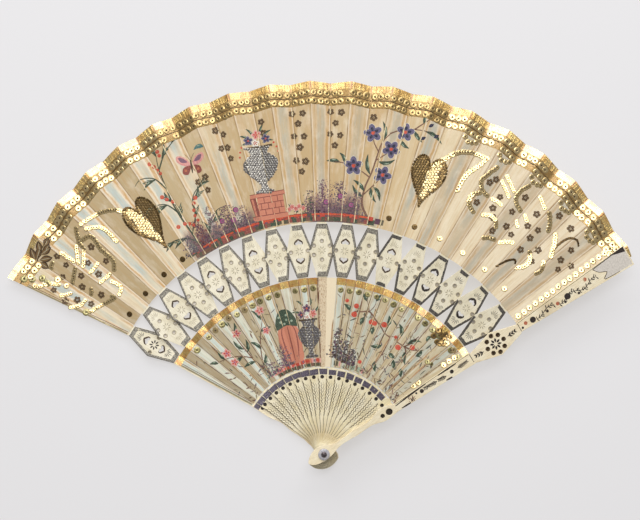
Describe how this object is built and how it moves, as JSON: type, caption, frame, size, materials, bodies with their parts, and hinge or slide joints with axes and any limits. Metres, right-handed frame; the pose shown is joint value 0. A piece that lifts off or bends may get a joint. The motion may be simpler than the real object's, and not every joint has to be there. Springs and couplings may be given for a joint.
{
  "type": "cabriolet fan",
  "caption": "Open folding fan with two pleated painted leaves on flat bone sticks with pierced hexagons, two stout guards and a rivet they all turn on.",
  "frame": {"origin": "centre of the flat back face of the rivet's head, on the pivot axis", "axes": "+Z along the rivet from the back to the painted front, +Y up the middle of the open spread, +X to the right seen from the front"},
  "size_m": [0.3582, 0.223, 0.0216],
  "materials": {
    "bone": "satin",
    "guard_bone": "satin",
    "upper_leaf": "matte",
    "lower_leaf": "matte",
    "rivet": "satin",
    "washer": "gloss"
  },
  "bodies": {
    "root": {"back_guard": "guard_bone", "rivet": "rivet", "back_washer": "washer", "front_washer": "washer", "upper_leaf_01": "upper_leaf", "lower_leaf_01": "lower_leaf"},
    "stick_01": {"stick_01": "bone", "upper_leaf_02": "upper_leaf", "lower_leaf_02": "lower_leaf"},
    "stick_02": {"stick_02": "bone", "upper_leaf_03": "upper_leaf", "lower_leaf_03": "lower_leaf"},
    "stick_03": {"stick_03": "bone", "upper_leaf_04": "upper_leaf", "lower_leaf_04": "lower_leaf"},
    "stick_04": {"stick_04": "bone", "upper_leaf_05": "upper_leaf", "lower_leaf_05": "lower_leaf"},
    "stick_05": {"stick_05": "bone", "upper_leaf_06": "upper_leaf", "lower_leaf_06": "lower_leaf"},
    "stick_06": {"stick_06": "bone", "upper_leaf_07": "upper_leaf", "lower_leaf_07": "lower_leaf"},
    "stick_07": {"stick_07": "bone", "upper_leaf_08": "upper_leaf", "lower_leaf_08": "lower_leaf"},
    "stick_08": {"stick_08": "bone", "upper_leaf_09": "upper_leaf", "lower_leaf_09": "lower_leaf"},
    "stick_09": {"stick_09": "bone", "upper_leaf_10": "upper_leaf", "lower_leaf_10": "lower_leaf"},
    "stick_10": {"stick_10": "bone", "upper_leaf_11": "upper_leaf", "lower_leaf_11": "lower_leaf"},
    "stick_11": {"stick_11": "bone", "upper_leaf_12": "upper_leaf", "lower_leaf_12": "lower_leaf"},
    "stick_12": {"stick_12": "bone", "upper_leaf_13": "upper_leaf", "lower_leaf_13": "lower_leaf"},
    "stick_13": {"stick_13": "bone", "upper_leaf_14": "upper_leaf", "lower_leaf_14": "lower_leaf"},
    "stick_14": {"stick_14": "bone", "upper_leaf_15": "upper_leaf", "lower_leaf_15": "lower_leaf"},
    "stick_15": {"stick_15": "bone", "upper_leaf_16": "upper_leaf", "lower_leaf_16": "lower_leaf"},
    "stick_16": {"stick_16": "bone", "upper_leaf_17": "upper_leaf", "lower_leaf_17": "lower_leaf"},
    "stick_17": {"stick_17": "bone", "upper_leaf_18": "upper_leaf", "lower_leaf_18": "lower_leaf"},
    "front_guard": {"front_guard": "guard_bone"}
  },
  "joints": [
    {"name": "fold_01", "type": "hinge", "parent": "root", "child": "stick_01", "pos_m": [0, 0, 0], "axis": [0, 0, 1], "range_deg": [0, 6.43], "deforming": ["upper_leaf_01", "lower_leaf_01"]},
    {"name": "fold_02", "type": "hinge", "parent": "stick_01", "child": "stick_02", "pos_m": [0, 0, 0], "axis": [0, 0, 1], "range_deg": [0, 6.43], "deforming": ["upper_leaf_02", "lower_leaf_02"]},
    {"name": "fold_03", "type": "hinge", "parent": "stick_02", "child": "stick_03", "pos_m": [0, 0, 0], "axis": [0, 0, 1], "range_deg": [0, 6.43], "deforming": ["upper_leaf_03", "lower_leaf_03"]},
    {"name": "fold_04", "type": "hinge", "parent": "stick_03", "child": "stick_04", "pos_m": [0, 0, 0], "axis": [0, 0, 1], "range_deg": [0, 6.43], "deforming": ["upper_leaf_04", "lower_leaf_04"]},
    {"name": "fold_05", "type": "hinge", "parent": "stick_04", "child": "stick_05", "pos_m": [0, 0, 0], "axis": [0, 0, 1], "range_deg": [0, 6.43], "deforming": ["upper_leaf_05", "lower_leaf_05"]},
    {"name": "fold_06", "type": "hinge", "parent": "stick_05", "child": "stick_06", "pos_m": [0, 0, 0], "axis": [0, 0, 1], "range_deg": [0, 6.43], "deforming": ["upper_leaf_06", "lower_leaf_06"]},
    {"name": "fold_07", "type": "hinge", "parent": "stick_06", "child": "stick_07", "pos_m": [0, 0, 0], "axis": [0, 0, 1], "range_deg": [0, 6.43], "deforming": ["upper_leaf_07", "lower_leaf_07"]},
    {"name": "fold_08", "type": "hinge", "parent": "stick_07", "child": "stick_08", "pos_m": [0, 0, 0], "axis": [0, 0, 1], "range_deg": [0, 6.43], "deforming": ["upper_leaf_08", "lower_leaf_08"]},
    {"name": "fold_09", "type": "hinge", "parent": "stick_08", "child": "stick_09", "pos_m": [0, 0, 0], "axis": [0, 0, 1], "range_deg": [0, 6.43], "deforming": ["upper_leaf_09", "lower_leaf_09"]},
    {"name": "fold_10", "type": "hinge", "parent": "stick_09", "child": "stick_10", "pos_m": [0, 0, 0], "axis": [0, 0, 1], "range_deg": [0, 6.43], "deforming": ["upper_leaf_10", "lower_leaf_10"]},
    {"name": "fold_11", "type": "hinge", "parent": "stick_10", "child": "stick_11", "pos_m": [0, 0, 0], "axis": [0, 0, 1], "range_deg": [0, 6.43], "deforming": ["upper_leaf_11", "lower_leaf_11"]},
    {"name": "fold_12", "type": "hinge", "parent": "stick_11", "child": "stick_12", "pos_m": [0, 0, 0], "axis": [0, 0, 1], "range_deg": [0, 6.43], "deforming": ["upper_leaf_12", "lower_leaf_12"]},
    {"name": "fold_13", "type": "hinge", "parent": "stick_12", "child": "stick_13", "pos_m": [0, 0, 0], "axis": [0, 0, 1], "range_deg": [0, 6.43], "deforming": ["upper_leaf_13", "lower_leaf_13"]},
    {"name": "fold_14", "type": "hinge", "parent": "stick_13", "child": "stick_14", "pos_m": [0, 0, 0], "axis": [0, 0, 1], "range_deg": [0, 6.43], "deforming": ["upper_leaf_14", "lower_leaf_14"]},
    {"name": "fold_15", "type": "hinge", "parent": "stick_14", "child": "stick_15", "pos_m": [0, 0, 0], "axis": [0, 0, 1], "range_deg": [0, 6.43], "deforming": ["upper_leaf_15", "lower_leaf_15"]},
    {"name": "fold_16", "type": "hinge", "parent": "stick_15", "child": "stick_16", "pos_m": [0, 0, 0], "axis": [0, 0, 1], "range_deg": [0, 6.43], "deforming": ["upper_leaf_16", "lower_leaf_16"]},
    {"name": "fold_17", "type": "hinge", "parent": "stick_16", "child": "stick_17", "pos_m": [0, 0, 0], "axis": [0, 0, 1], "range_deg": [0, 6.43], "deforming": ["upper_leaf_17", "lower_leaf_17"]},
    {"name": "fold_18", "type": "hinge", "parent": "stick_17", "child": "front_guard", "pos_m": [0, 0, 0], "axis": [0, 0, 1], "range_deg": [0, 6.43], "deforming": ["upper_leaf_18", "lower_leaf_18"]}
  ],
  "couplings": [
    {"joint": "fold_02", "follows": "fold_01", "ratio": 1},
    {"joint": "fold_03", "follows": "fold_01", "ratio": 1},
    {"joint": "fold_04", "follows": "fold_01", "ratio": 1},
    {"joint": "fold_05", "follows": "fold_01", "ratio": 1},
    {"joint": "fold_06", "follows": "fold_01", "ratio": 1},
    {"joint": "fold_07", "follows": "fold_01", "ratio": 1},
    {"joint": "fold_08", "follows": "fold_01", "ratio": 1},
    {"joint": "fold_09", "follows": "fold_01", "ratio": 1},
    {"joint": "fold_10", "follows": "fold_01", "ratio": 1},
    {"joint": "fold_11", "follows": "fold_01", "ratio": 1},
    {"joint": "fold_12", "follows": "fold_01", "ratio": 1},
    {"joint": "fold_13", "follows": "fold_01", "ratio": 1},
    {"joint": "fold_14", "follows": "fold_01", "ratio": 1},
    {"joint": "fold_15", "follows": "fold_01", "ratio": 1},
    {"joint": "fold_16", "follows": "fold_01", "ratio": 1},
    {"joint": "fold_17", "follows": "fold_01", "ratio": 1},
    {"joint": "fold_18", "follows": "fold_01", "ratio": 1}
  ]
}
